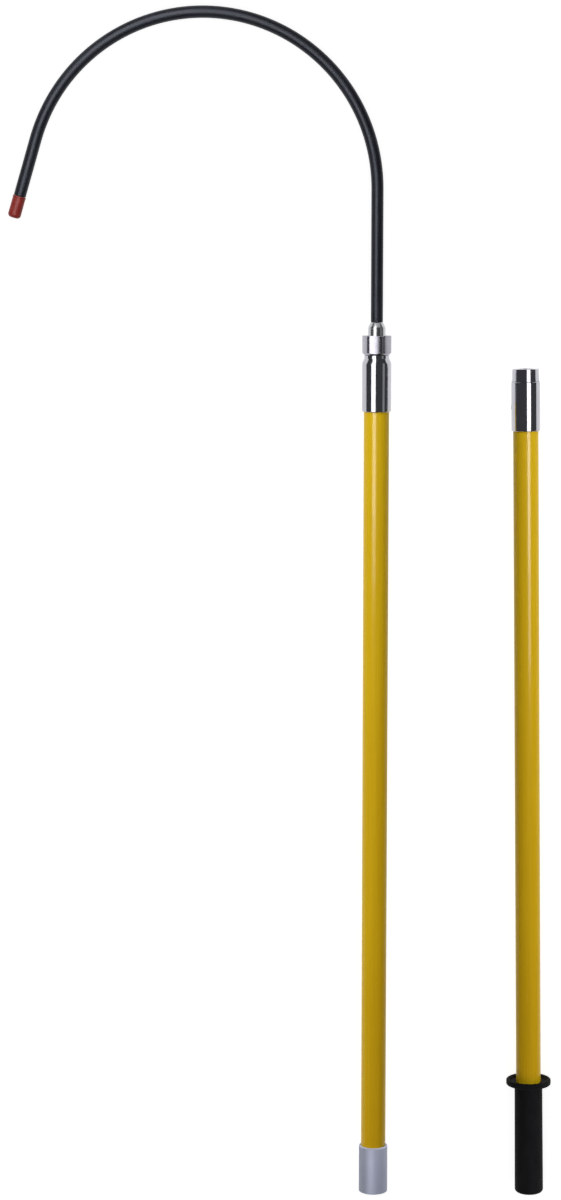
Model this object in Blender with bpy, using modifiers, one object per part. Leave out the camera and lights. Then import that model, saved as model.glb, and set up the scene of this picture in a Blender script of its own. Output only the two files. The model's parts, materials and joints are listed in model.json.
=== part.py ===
"""Insulated rescue hook in two sections, lying on a flat surface as laid out before use.

The hook section is a foam-filled fibreglass tube with a bent, sleeved steel hook held in its head by a
union nut, and a socket with a threaded stud at its foot. The handle section lies beside it: a second tube
with a bored spigot that enters the socket and screws on the stud, a hand guard and a rubber grip.

Units are metres. The pole axes run along Y, the hook bends towards -X, and Z is up from the surface.
Each section is modelled upright on its own Z axis and then laid down by its empty.
"""

import math

import bmesh
import bpy
from mathutils import Matrix, Vector

# Poles
TUBE_DIAMETER = 0.032
TUBE_WALL = 0.003
UPPER_TUBE_VISIBLE = 0.9556
LOWER_TUBE_VISIBLE = 0.8397
PLUG_LENGTH = 0.040
END_PLUG_FLANGE = 0.003
END_PLUG_LENGTH = 0.018

# Metal sleeves on the tube ends
SLEEVE_DIAMETER = 0.0372
SPIGOT_SLEEVE_DIAMETER = 0.0364
SLEEVE_LENGTH = 0.062
SLEEVE_GRIP = 0.050
SLEEVE_EDGE = 0.0006
CROSS_PIN_DIAMETER = 0.005
CROSS_PIN_SINK = 0.0002

# Screwed joint between the sections
SPIGOT_DIAMETER = 0.034
SPIGOT_TOP_DIAMETER = 0.0336
SPIGOT_LENGTH = 0.016
SPIGOT_CHAMFER = 0.001
SPIGOT_SHOULDER_CHAMFER = 0.0008
STUD_BORE_DEPTH = 0.018
STUD_BORE_CHAMFER = 0.001
STUD_DIAMETER = 0.016
STUD_LENGTH = 0.013
STUD_CHAMFER = 0.0012
STUD_BASE_THICKNESS = 0.003
STUD_STEM_DIAMETER = 0.010
STUD_STEM_LENGTH = 0.012
SOCKET_END_ROOM = 0.001

# Head of the hook section
HEAD_SKIRT_LENGTH = 0.0607
SHOULDER_LENGTH = 0.006
SHOULDER_FILLET = 0.006
NECK_DIAMETER = 0.0316
NECK_LENGTH = 0.0043
NECK_FILLET = 0.0012
BOSS_DIAMETER = 0.027
BOSS_HEIGHT = 0.0125
BOSS_CHAMFER = 0.001
FITTING_SPIGOT_DIAMETER = 0.018
FITTING_SPIGOT_LENGTH = 0.025
FITTING_FLANGE_DIAMETER = 0.0264
FITTING_FLANGE_HEIGHT = 0.004
COLLAR_DIAMETER = 0.022
COLLAR_RISE = 0.0165
COLLAR_ROUNDING = 0.004
BAR_SEAT_FLOOR = 0.004
WASHER_THICKNESS = 0.0015
NUT_ACROSS_FLATS = 0.032
NUT_HEIGHT = 0.0242
NUT_TOP_CHAMFER = 0.0008
NUT_FOOT_CHAMFER = 0.003
FITTING_PIN_DIAMETER = 0.004
KEY_PIN_DIAMETER = 0.0025
KEY_PIN_STAND = 0.003
KEY_PIN_SEAT = 0.005

# Hook
BAR_DIAMETER = 0.012
HOOK_SLEEVE_DIAMETER = 0.0152
SHANK_LENGTH = 0.165
BEND_RADIUS = 0.2175
BEND_ANGLE = math.radians(163.5)
LEG_LENGTH = 0.101
CAP_DIAMETER = 0.0167
CAP_LENGTH = 0.0275
CAP_END_WALL = 0.003
CAP_ROUNDING = 0.003

# Handle
GRIP_LENGTH = 0.1436
GRIP_TOP_DIAMETER = 0.0358
GRIP_FOOT_DIAMETER = 0.0368
GRIP_END_WALL = 0.004
GRIP_ROUNDING = 0.0045
GUARD_DIAMETER = 0.0575
GUARD_THICKNESS = 0.0072
GUARD_RIM_WIDTH = 0.004
GUARD_RIM_ROUNDING = 0.0018
GUARD_DISH = 0.0032
GUARD_DISH_SLOPE = 0.0016
GUARD_DISH_ROUNDING = 0.0012

# Layout on the surface
SECTION_SPACING = 0.2027
HANDLE_STAGGER = 0.0026
HANDLE_YAW = math.radians(0.84)

# Fits
GAP = 0.0003
COLLAR_CLEARANCE = 0.0004

# Facets
ROUND_SIDES = 36
SMALL_SIDES = 18
BAR_BEVEL = 4
SLEEVE_BEVEL = 6
BEND_STEPS = 32
FILLET_STEPS = 3
SMALLEST_FILLET = 0.001
OVERCUT = 0.002
WELD = 0.00001
SHARP_ANGLE = math.radians(40)

tube_radius = TUBE_DIAMETER / 2
tube_bore = tube_radius - TUBE_WALL
sleeve_radius = SLEEVE_DIAMETER / 2
sleeve_bore = tube_radius + GAP
spigot_sleeve_radius = SPIGOT_SLEEVE_DIAMETER / 2
socket_bore = SPIGOT_DIAMETER / 2 + GAP
stud_radius = STUD_DIAMETER / 2
bar_radius = BAR_DIAMETER / 2
bar_bore = bar_radius + GAP
cap_radius = CAP_DIAMETER / 2
guard_radius = GUARD_DIAMETER / 2

# Heights on the hook section, from the end face of its socket
stud_base_foot = SPIGOT_LENGTH + SOCKET_END_ROOM
stud_base_top = stud_base_foot + STUD_BASE_THICKNESS
socket_plug_face = stud_base_top + GAP
upper_tube_foot = socket_plug_face + END_PLUG_FLANGE + GAP
head_ferrule_foot = SLEEVE_LENGTH + UPPER_TUBE_VISIBLE
head_shoulder = head_ferrule_foot + HEAD_SKIRT_LENGTH
head_neck = head_shoulder + SHOULDER_LENGTH
nut_foot = head_neck + NECK_LENGTH
boss_top = nut_foot + BOSS_HEIGHT
flange_foot = boss_top + GAP
flange_top = flange_foot + FITTING_FLANGE_HEIGHT
washer_foot = flange_top + GAP
nut_ledge = washer_foot + WASHER_THICKNESS + GAP
nut_top = nut_foot + NUT_HEIGHT
collar_top = nut_top + COLLAR_RISE
bend_start = collar_top + SHANK_LENGTH

# Heights on the handle section, from the flat end of its grip
guard_foot = GRIP_LENGTH + GAP
guard_top = guard_foot + GUARD_THICKNESS
lower_tube_foot = GRIP_END_WALL + END_PLUG_FLANGE + 2 * GAP
spigot_ferrule_foot = guard_top + LOWER_TUBE_VISIBLE
spigot_shoulder = spigot_ferrule_foot + SLEEVE_LENGTH
spigot_top = spigot_shoulder + SPIGOT_LENGTH


def clear_scene():
    for obj in list(bpy.data.objects):
        bpy.data.objects.remove(obj)


def new_collection(name):
    collection = bpy.data.collections.new(name)
    bpy.context.scene.collection.children.link(collection)
    return collection


def finish(name, colour, roughness, metallic=0.0):
    """A Principled material in one of the object's finishes."""
    material = bpy.data.materials.new(name)
    material.use_nodes = True
    shader = material.node_tree.nodes["Principled BSDF"]
    shader.inputs["Base Color"].default_value = (*colour, 1.0)
    shader.inputs["Roughness"].default_value = roughness
    shader.inputs["Metallic"].default_value = metallic
    return material


def add_object(name, data, parent, material=None):
    obj = bpy.data.objects.new(name, data)
    obj.parent = parent
    if material:
        obj.data.materials.append(material)
        parts.objects.link(obj)
    else:
        obj.hide_render = True
        obj.display_type = "WIRE"
        cutters.objects.link(obj)
    return obj


def add_empty(name, parent=None, location=(0, 0, 0), rotation=None):
    """A holder for a group of pieces. It isn't a piece itself."""
    empty = bpy.data.objects.new(name, None)
    empty.empty_display_size = SLEEVE_DIAMETER
    empty.parent = parent
    empty.matrix_local = Matrix.Translation(location) @ (rotation or Matrix.Identity(4))
    parts.objects.link(empty)
    return empty


def filleted(corners, closed):
    """The profile through (radius, height, fillet) corners, with each fillet as an arc of chords.

    A fillet too small to see as round is a single chamfer.
    """
    points = []
    count = len(corners)
    for i, corner in enumerate(corners):
        here = Vector(corner[:2])
        fillet = corner[2] if len(corner) > 2 else 0
        if not fillet or (not closed and i in (0, count - 1)):
            points.append(here)
            continue
        back = (Vector(corners[i - 1][:2]) - here).normalized()
        ahead = (Vector(corners[(i + 1) % count][:2]) - here).normalized()
        half = back.angle(ahead) / 2
        centre = here + (back + ahead).normalized() * fillet / math.sin(half)
        first = (here + back * fillet / math.tan(half) - centre).normalized()
        last = (here + ahead * fillet / math.tan(half) - centre).normalized()
        steps = 1 if fillet < SMALLEST_FILLET else FILLET_STEPS
        for step in range(steps + 1):
            points.append(centre + fillet * first.slerp(last, step / steps))
    return points


def turned(name, corners, parent, material=None, bored=False, sides=ROUND_SIDES):
    """A turned piece. Its profile starts at the top and runs down the outer side; a bored one closes up its bore."""
    shape = bmesh.new()
    verts = [shape.verts.new((point.x, 0, point.y)) for point in filleted(corners, bored)]
    for first, second in zip(verts, verts[1:] + verts[:1] if bored else verts[1:]):
        shape.edges.new((first, second))
    mesh = bpy.data.meshes.new(name)
    shape.to_mesh(mesh)
    shape.free()
    obj = add_object(name, mesh, parent, material)
    screw = obj.modifiers.new("turn", "SCREW")
    screw.steps = sides
    screw.render_steps = sides
    screw.use_merge_vertices = True
    screw.merge_threshold = WELD
    screw.use_smooth_shade = True
    return obj


def rod(name, radius, foot, top, parent, material=None, sides=SMALL_SIDES):
    """A plain round piece along the section's axis."""
    return turned(name, [(0, top), (radius, top), (radius, foot), (0, foot)], parent, material, sides=sides)


def cross_rod(name, radius, length, height, parent, material=None, sides=SMALL_SIDES):
    """A round pin or drill that crosses the section's axis, along X, at a height."""
    shape = bmesh.new()
    bmesh.ops.create_cone(
        shape, cap_ends=True, segments=sides, radius1=radius, radius2=radius, depth=length
    )
    mesh = bpy.data.meshes.new(name)
    shape.to_mesh(mesh)
    shape.free()
    mesh.shade_smooth()
    mesh.set_sharp_from_angle(angle=SHARP_ANGLE)
    obj = add_object(name, mesh, parent, material)
    obj.matrix_local = Matrix.Translation((0, 0, height)) @ Matrix.Rotation(math.pi / 2, 4, "Y")
    return obj


def cut(obj, cutter, operation="DIFFERENCE"):
    boolean = obj.modifiers.new(cutter.name, "BOOLEAN")
    boolean.operation = operation
    boolean.object = cutter


def ring_corners(outer, inner, top, foot):
    """The profile of a plain ring or tube."""
    return [(inner, top), (outer, top), (outer, foot), (inner, foot)]


def hook_route(start_height, leg_length):
    """The hook's centreline: up the shank, round the bend and down the leg."""
    centre = Vector((-BEND_RADIUS, 0, bend_start))
    route = [Vector((0, 0, start_height))]
    for step in range(BEND_STEPS + 1):
        angle = BEND_ANGLE * step / BEND_STEPS
        route.append(centre + BEND_RADIUS * Vector((math.cos(angle), 0, math.sin(angle))))
    route.append(route[-1] + leg_length * leg_direction())
    return route


def leg_direction():
    return Vector((-math.sin(BEND_ANGLE), 0, math.cos(BEND_ANGLE)))


def swept(name, route, radius, bevel, parent, material, capped):
    """A round bar, or the open skin of a round tube, along a route, as a mesh."""
    curve = bpy.data.curves.new(name + "_route", "CURVE")
    curve.dimensions = "3D"
    curve.bevel_depth = radius
    curve.bevel_resolution = bevel
    curve.use_fill_caps = capped
    spline = curve.splines.new("POLY")
    spline.points.add(len(route) - 1)
    for point, place in zip(spline.points, route):
        point.co = (*place, 1)
    drawn = bpy.data.objects.new(name + "_drawn", curve)
    bpy.context.scene.collection.objects.link(drawn)
    graph = bpy.context.evaluated_depsgraph_get()
    mesh = bpy.data.meshes.new_from_object(drawn.evaluated_get(graph))
    shape = bmesh.new()
    shape.from_mesh(mesh)
    bmesh.ops.remove_doubles(shape, verts=shape.verts, dist=WELD)
    bmesh.ops.recalc_face_normals(shape, faces=shape.faces)
    shape.to_mesh(mesh)
    shape.free()
    mesh.name = name
    mesh.shade_smooth()
    mesh.set_sharp_from_angle(angle=SHARP_ANGLE)
    bpy.data.objects.remove(drawn)
    return add_object(name, mesh, parent, material)


def make_tube(name, foot, top, parent):
    return turned(name, ring_corners(tube_radius, tube_bore, top, foot), parent, tube_finish, bored=True)


def make_foam_core(name, foot, top, parent):
    return rod(name, tube_bore - GAP, foot, top, parent, foam_finish)


def make_tube_plug(name, foot, parent):
    """The plug that stiffens a tube's end where its sleeve is pinned."""
    edge = SLEEVE_EDGE
    corners = [(0, foot + PLUG_LENGTH), (tube_bore - GAP, foot + PLUG_LENGTH, edge)]
    corners += [(tube_bore - GAP, foot, edge), (0, foot)]
    return turned(name, corners, parent, plug_finish, sides=SMALL_SIDES)


def make_end_plug(name, flange_face, parent, bore=0.0, bore_depth=0.0):
    """The stopper that seals a tube's foot: a flange under the tube wall and a barrel inside it."""
    flange_back = flange_face + END_PLUG_FLANGE
    barrel_top = flange_face + END_PLUG_LENGTH
    corners = [
        (0, barrel_top),
        (tube_bore - GAP, barrel_top, SLEEVE_EDGE),
        (tube_bore - GAP, flange_back),
        (tube_radius, flange_back),
        (tube_radius, flange_face),
    ]
    if bore:
        corners += [(bore, flange_face), (bore, flange_face + bore_depth), (0, flange_face + bore_depth)]
    else:
        corners.append((0, flange_face))
    return turned(name, corners, parent, plug_finish, sides=SMALL_SIDES)


def pin_sleeve(name, around, height, parent, pieces):
    """A cross pin, flush with the sleeve around it, and its hole through the sleeve, the tube and the plug."""
    radius = CROSS_PIN_DIAMETER / 2
    flush = math.sqrt(around**2 - radius**2)
    cross_rod(name, radius, 2 * (flush - CROSS_PIN_SINK), height, parent, steel_finish)
    drill = cross_rod(name + "_drill", radius + GAP, 2 * around + OVERCUT, height, parent)
    for piece in pieces:
        cut(piece, drill)


def make_socket(parent):
    """Aluminium sleeve on the tube's foot. Its mouth takes the handle section's spigot."""
    corners = [
        (sleeve_bore, SLEEVE_LENGTH),
        (sleeve_radius, SLEEVE_LENGTH, SLEEVE_EDGE),
        (sleeve_radius, 0, SLEEVE_EDGE),
        (socket_bore, 0),
        (socket_bore, socket_plug_face),
        (sleeve_bore, socket_plug_face),
    ]
    return turned("socket_sleeve", corners, parent, aluminium_finish, bored=True)


def make_socket_stud(parent):
    """The stud that holds the joint: a base that fills the socket, a stem in the plug and the stud itself."""
    base = socket_bore - GAP
    stem = STUD_STEM_DIAMETER / 2
    stem_top = stud_base_top + STUD_STEM_LENGTH
    stud_foot = stud_base_foot - STUD_LENGTH
    corners = [
        (0, stem_top),
        (stem, stem_top, SLEEVE_EDGE),
        (stem, stud_base_top),
        (base, stud_base_top, SLEEVE_EDGE),
        (base, stud_base_foot, SLEEVE_EDGE),
        (stud_radius, stud_base_foot),
        (stud_radius, stud_foot + STUD_CHAMFER),
        (stud_radius - STUD_CHAMFER, stud_foot),
        (0, stud_foot),
    ]
    return turned("socket_stud", corners, parent, steel_finish, sides=SMALL_SIDES)


def make_head_ferrule(parent):
    """Chromed ferrule: a skirt over the tube, a sloped shoulder, a neck and the boss that the nut screws on."""
    head_floor = head_ferrule_foot + SLEEVE_GRIP
    seat_floor = boss_top - FITTING_SPIGOT_LENGTH - 2 * GAP
    seat_bore = FITTING_SPIGOT_DIAMETER / 2 + GAP
    neck = NECK_DIAMETER / 2
    boss = BOSS_DIAMETER / 2
    corners = [
        (0, seat_floor),
        (seat_bore, seat_floor),
        (seat_bore, boss_top),
        (boss, boss_top, BOSS_CHAMFER),
        (boss, nut_foot - GAP),
        (neck, nut_foot - GAP, SLEEVE_EDGE),
        (neck, head_neck, NECK_FILLET),
        (sleeve_radius, head_shoulder, SHOULDER_FILLET),
        (sleeve_radius, head_ferrule_foot, SLEEVE_EDGE),
        (sleeve_bore, head_ferrule_foot),
        (sleeve_bore, head_floor),
        (0, head_floor),
    ]
    return turned("head_ferrule", corners, parent, chrome_finish)


def make_hook_fitting(parent):
    """Turned end fitting of the hook: a pinned spigot, the flange that the nut clamps, and the collar."""
    spigot = FITTING_SPIGOT_DIAMETER / 2
    spigot_foot = flange_foot - FITTING_SPIGOT_LENGTH
    flange = FITTING_FLANGE_DIAMETER / 2
    collar = COLLAR_DIAMETER / 2
    bar_seat = spigot_foot + BAR_SEAT_FLOOR
    corners = [
        (0, bar_seat),
        (bar_bore, bar_seat),
        (bar_bore, collar_top),
        (collar, collar_top, COLLAR_ROUNDING),
        (collar, flange_top),
        (flange, flange_top, SLEEVE_EDGE),
        (flange, flange_foot, SLEEVE_EDGE),
        (spigot, flange_foot),
        (spigot, spigot_foot, SLEEVE_EDGE),
        (0, spigot_foot),
    ]
    return turned("hook_fitting", corners, parent, chrome_finish)


def make_union_nut(parent):
    """Hexagon nut, chamfered by turning, with a threaded bore below a ledge that bears on the washer."""
    corner_radius = NUT_ACROSS_FLATS / math.sqrt(3)
    shape = bmesh.new()
    bmesh.ops.create_cone(
        shape, cap_ends=True, segments=6, radius1=corner_radius, radius2=corner_radius, depth=NUT_HEIGHT
    )
    flat_to_front = Matrix.Rotation(math.pi / 6, 4, "Z")
    bmesh.ops.transform(shape, matrix=flat_to_front, verts=shape.verts)
    bmesh.ops.translate(shape, vec=(0, 0, nut_foot + NUT_HEIGHT / 2), verts=shape.verts)
    mesh = bpy.data.meshes.new("union_nut")
    shape.to_mesh(mesh)
    shape.free()
    nut = add_object("union_nut", mesh, parent, chrome_finish)
    # The blank is a hair taller than the prism, so that only its chamfers cut.
    blank_corners = [
        (0, nut_top + GAP),
        (corner_radius - NUT_TOP_CHAMFER, nut_top + GAP),
        (corner_radius + GAP, nut_top - NUT_TOP_CHAMFER),
        (corner_radius + GAP, nut_foot + NUT_FOOT_CHAMFER),
        (corner_radius - NUT_FOOT_CHAMFER, nut_foot - GAP),
        (0, nut_foot - GAP),
    ]
    cut(nut, turned("nut_blank", blank_corners, parent), "INTERSECT")
    thread_bore = BOSS_DIAMETER / 2 + GAP
    ledge_bore = COLLAR_DIAMETER / 2 + COLLAR_CLEARANCE
    bore_corners = [
        (0, nut_top + OVERCUT),
        (ledge_bore, nut_top + OVERCUT),
        (ledge_bore, nut_ledge),
        (thread_bore, nut_ledge),
        (thread_bore, nut_foot - OVERCUT),
        (0, nut_foot - OVERCUT),
    ]
    cut(nut, turned("nut_bore", bore_corners, parent))
    return nut


def make_key_pin(ferrule, fitting, parent):
    """The pin that stands in the boss and keeps the flange, and so the hook, from turning."""
    radius = KEY_PIN_DIAMETER / 2
    seat_edge = FITTING_SPIGOT_DIAMETER / 2 + GAP
    pitch_radius = (seat_edge + BOSS_DIAMETER / 2) / 2
    foot = boss_top - KEY_PIN_SEAT
    top = boss_top + KEY_PIN_STAND
    pin = rod("key_pin", radius, foot, top, parent, steel_finish)
    drill = rod("key_pin_drill", radius + GAP, foot - GAP, top + GAP, parent)
    for piece in (pin, drill):
        piece.location.y = pitch_radius
    cut(ferrule, drill)
    cut(fitting, drill)


def make_hook(parent, fitting):
    """The bent steel bar with its black sleeve, pinned in the fitting, and the cap on its tip."""
    spigot_foot = flange_foot - FITTING_SPIGOT_LENGTH
    bar_foot = spigot_foot + BAR_SEAT_FLOOR + GAP
    cap_mouth = LEG_LENGTH - CAP_LENGTH
    bar_route = hook_route(bar_foot, LEG_LENGTH - CAP_END_WALL - GAP)
    bar = swept("hook_bar", bar_route, bar_radius, BAR_BEVEL, parent, steel_finish, capped=True)
    sleeve_route = hook_route(collar_top + GAP, cap_mouth - GAP)
    skin_radius = HOOK_SLEEVE_DIAMETER / 2
    sleeve = swept("hook_sleeve", sleeve_route, skin_radius, SLEEVE_BEVEL, parent, sleeve_finish, capped=False)
    wall = sleeve.modifiers.new("wall", "SOLIDIFY")
    wall.thickness = skin_radius - bar_bore
    wall.offset = -1

    pin_height = (spigot_foot + BAR_SEAT_FLOOR + boss_top) / 2
    pin_radius = FITTING_PIN_DIAMETER / 2
    pin_length = 2 * math.sqrt((FITTING_SPIGOT_DIAMETER / 2) ** 2 - pin_radius**2) - CROSS_PIN_SINK
    cross_rod("fitting_pin", pin_radius, pin_length, pin_height, parent, steel_finish)
    drill = cross_rod(
        "fitting_pin_drill", pin_radius + GAP, FITTING_SPIGOT_DIAMETER + OVERCUT, pin_height, parent
    )
    cut(bar, drill)
    cut(fitting, drill)


def make_tip_cap(parent):
    """The red cap, modelled mouth up and then pointed down the leg."""
    bore_floor = -CAP_LENGTH + CAP_END_WALL
    corners = [
        (0, bore_floor),
        (bar_bore, bore_floor),
        (bar_bore, 0),
        (cap_radius, 0, SLEEVE_EDGE),
        (cap_radius, -CAP_LENGTH, CAP_ROUNDING),
        (0, -CAP_LENGTH),
    ]
    cap = turned("tip_cap", corners, parent, cap_finish, sides=SMALL_SIDES)
    mouth = hook_route(0, LEG_LENGTH - CAP_LENGTH)[-1]
    tilt = (-leg_direction()).to_track_quat("Z", "Y").to_matrix().to_4x4()
    cap.matrix_local = Matrix.Translation(mouth) @ tilt
    return cap


def make_washer(parent):
    outer = FITTING_FLANGE_DIAMETER / 2
    inner = COLLAR_DIAMETER / 2 + GAP
    corners = ring_corners(outer, inner, washer_foot + WASHER_THICKNESS, washer_foot)
    return turned("thrust_washer", corners, parent, washer_finish, bored=True, sides=SMALL_SIDES)


def make_spigot_ferrule(parent):
    """Chromed ferrule on the handle section: a skirt over the tube and a spigot, bored for the stud."""
    head_floor = spigot_ferrule_foot + SLEEVE_GRIP
    stud_bore = stud_radius + GAP
    bore_floor = spigot_top - STUD_BORE_DEPTH
    spigot_rim = SPIGOT_TOP_DIAMETER / 2
    corners = [
        (0, bore_floor),
        (stud_bore, bore_floor),
        (stud_bore, spigot_top - STUD_BORE_CHAMFER),
        (stud_bore + STUD_BORE_CHAMFER, spigot_top),
        (spigot_rim - SPIGOT_CHAMFER, spigot_top),
        (spigot_rim, spigot_top - SPIGOT_CHAMFER),
        (SPIGOT_DIAMETER / 2, spigot_shoulder),
        (spigot_sleeve_radius - SPIGOT_SHOULDER_CHAMFER, spigot_shoulder),
        (spigot_sleeve_radius, spigot_shoulder - SPIGOT_SHOULDER_CHAMFER),
        (spigot_sleeve_radius, spigot_ferrule_foot, SLEEVE_EDGE),
        (sleeve_bore, spigot_ferrule_foot),
        (sleeve_bore, head_floor),
        (0, head_floor),
    ]
    return turned("spigot_ferrule", corners, parent, chrome_finish)


def make_grip(parent):
    """Rubber grip with a closed end, pushed over the foot of the tube."""
    corners = [
        (0, GRIP_END_WALL),
        (sleeve_bore, GRIP_END_WALL),
        (sleeve_bore, GRIP_LENGTH),
        (GRIP_TOP_DIAMETER / 2, GRIP_LENGTH, SLEEVE_EDGE),
        (GRIP_FOOT_DIAMETER / 2, 0, GRIP_ROUNDING),
        (0, 0),
    ]
    return turned("grip", corners, parent, rubber_finish)


def make_hand_guard(parent):
    """Rubber disc above the grip, dished inside a thick rounded rim."""
    face = guard_top - GUARD_DISH
    rim = guard_radius - GUARD_RIM_WIDTH
    corners = [
        (sleeve_bore, face),
        (rim - GUARD_DISH_SLOPE, face),
        (rim, guard_top, GUARD_DISH_ROUNDING),
        (guard_radius, guard_top, GUARD_RIM_ROUNDING),
        (guard_radius, guard_foot, GUARD_RIM_ROUNDING),
        (sleeve_bore, guard_foot),
    ]
    return turned("hand_guard", corners, parent, rubber_finish, bored=True)


def lay_down():
    """Turns a section's upright axis to lie along Y, with its front facing up."""
    return Matrix.Rotation(-math.pi / 2, 4, "X")


def make_hook_section(layout):
    """Everything on the longer section, rolled until the hook's tip rests on the surface."""
    tip_reach = -hook_route(0, LEG_LENGTH)[-1].x
    roll = math.asin((sleeve_radius - cap_radius) / tip_reach)
    section = add_empty(
        "hook_section",
        layout,
        (0, 0, sleeve_radius),
        lay_down() @ Matrix.Rotation(-roll, 4, "Z"),
    )
    head_ferrule = make_head_ferrule(section)
    tube_top = head_ferrule_foot + SLEEVE_GRIP - GAP
    tube = make_tube("upper_tube", upper_tube_foot, tube_top, section)
    head_plug = make_tube_plug("head_plug", tube_top - PLUG_LENGTH, section)
    head_pin_height = tube_top - PLUG_LENGTH / 2
    pin_sleeve("head_ferrule_pin", sleeve_radius, head_pin_height, section, (head_ferrule, tube, head_plug))
    socket = make_socket(section)
    make_socket_stud(section)
    stem_bore = STUD_STEM_DIAMETER / 2 + GAP
    make_end_plug("socket_plug", socket_plug_face, section, stem_bore, STUD_STEM_LENGTH)
    foam_foot = socket_plug_face + END_PLUG_LENGTH + GAP
    foam = make_foam_core("upper_foam_core", foam_foot, tube_top - PLUG_LENGTH - GAP, section)
    socket_pin_height = (foam_foot + SLEEVE_LENGTH) / 2
    pin_sleeve("socket_pin", sleeve_radius, socket_pin_height, section, (socket, tube, foam))

    head = add_empty("hook_head", section)
    fitting = make_hook_fitting(head)
    make_hook(head, fitting)
    make_tip_cap(head)
    make_washer(head)
    make_key_pin(head_ferrule, fitting, section)
    make_union_nut(head)
    return section


def make_handle_section(layout):
    """Everything on the shorter section, which rests on its guard's rim and its ferrule's edge."""
    guard_edge = guard_top - GUARD_RIM_ROUNDING
    ferrule_edge = spigot_shoulder - SPIGOT_SHOULDER_CHAMFER
    tilt = math.atan((guard_radius - spigot_sleeve_radius) / (ferrule_edge - guard_edge))
    foot_height = guard_radius * math.cos(tilt) + guard_edge * math.sin(tilt)
    section = add_empty(
        "handle_section",
        layout,
        (SECTION_SPACING, HANDLE_STAGGER, foot_height),
        Matrix.Rotation(HANDLE_YAW, 4, "Z") @ Matrix.Rotation(-tilt, 4, "X") @ lay_down(),
    )
    ferrule = make_spigot_ferrule(section)
    tube_top = spigot_ferrule_foot + SLEEVE_GRIP - GAP
    tube = make_tube("lower_tube", lower_tube_foot, tube_top, section)
    plug = make_tube_plug("spigot_plug", tube_top - PLUG_LENGTH, section)
    pin_height = tube_top - PLUG_LENGTH / 2
    pin_sleeve("spigot_ferrule_pin", spigot_sleeve_radius, pin_height, section, (ferrule, tube, plug))
    plug_face = GRIP_END_WALL + GAP
    make_end_plug("handle_end_plug", plug_face, section)
    foam_foot = plug_face + END_PLUG_LENGTH + GAP
    make_foam_core("lower_foam_core", foam_foot, tube_top - PLUG_LENGTH - GAP, section)
    make_hand_guard(section)
    make_grip(section)
    return section


def centre_on_surface(layout):
    """Moves the whole layout so that the origin is at the middle of its footprint, on the surface."""
    bpy.context.view_layer.update()
    graph = bpy.context.evaluated_depsgraph_get()
    low = Vector((math.inf,) * 3)
    high = Vector((-math.inf,) * 3)
    for obj in parts.objects:
        if obj.type != "MESH":
            continue
        evaluated = obj.evaluated_get(graph)
        mesh = evaluated.to_mesh()
        for vertex in mesh.vertices:
            place = evaluated.matrix_world @ vertex.co
            low = Vector(map(min, low, place))
            high = Vector(map(max, high, place))
        evaluated.to_mesh_clear()
    layout.location = (-(low.x + high.x) / 2, -(low.y + high.y) / 2, -low.z)
    bpy.context.view_layer.update()


clear_scene()
parts = new_collection("rescue_hook")
cutters = new_collection("cutters")
tube_finish = finish("yellow_fibreglass", (0.62, 0.36, 0.02), 0.25)
foam_finish = finish("foam", (0.75, 0.68, 0.45), 0.9)
plug_finish = finish("grey_plastic", (0.25, 0.25, 0.26), 0.5)
chrome_finish = finish("chrome", (0.80, 0.80, 0.84), 0.08, 1.0)
steel_finish = finish("steel", (0.55, 0.55, 0.57), 0.3, 1.0)
aluminium_finish = finish("aluminium", (0.55, 0.55, 0.62), 0.4, 1.0)
sleeve_finish = finish("black_sleeve", (0.03, 0.032, 0.045), 0.4)
cap_finish = finish("red_cap", (0.50, 0.03, 0.02), 0.4)
rubber_finish = finish("black_rubber", (0.012, 0.012, 0.014), 0.6)
washer_finish = finish("brass", (0.70, 0.52, 0.22), 0.35, 1.0)

layout_empty = add_empty("layout")
make_hook_section(layout_empty)
make_handle_section(layout_empty)
centre_on_surface(layout_empty)
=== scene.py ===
"""Insulated rescue hook in two sections, laid out on a pale floor under soft studio light.

The hook section is a yellow fibreglass tube with a chromed head. A union nut holds the sleeved hook in
it, and a satin aluminium socket closes its foot. The handle section lies beside it, with a chromed spigot
at one end and a hand guard and a rubber grip at the other.

Units are metres. Each section's pieces are made upright on its own Z axis and then laid on its pole.
"""

import json
import math

import bmesh
import bpy
from mathutils import Matrix, Vector

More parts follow.
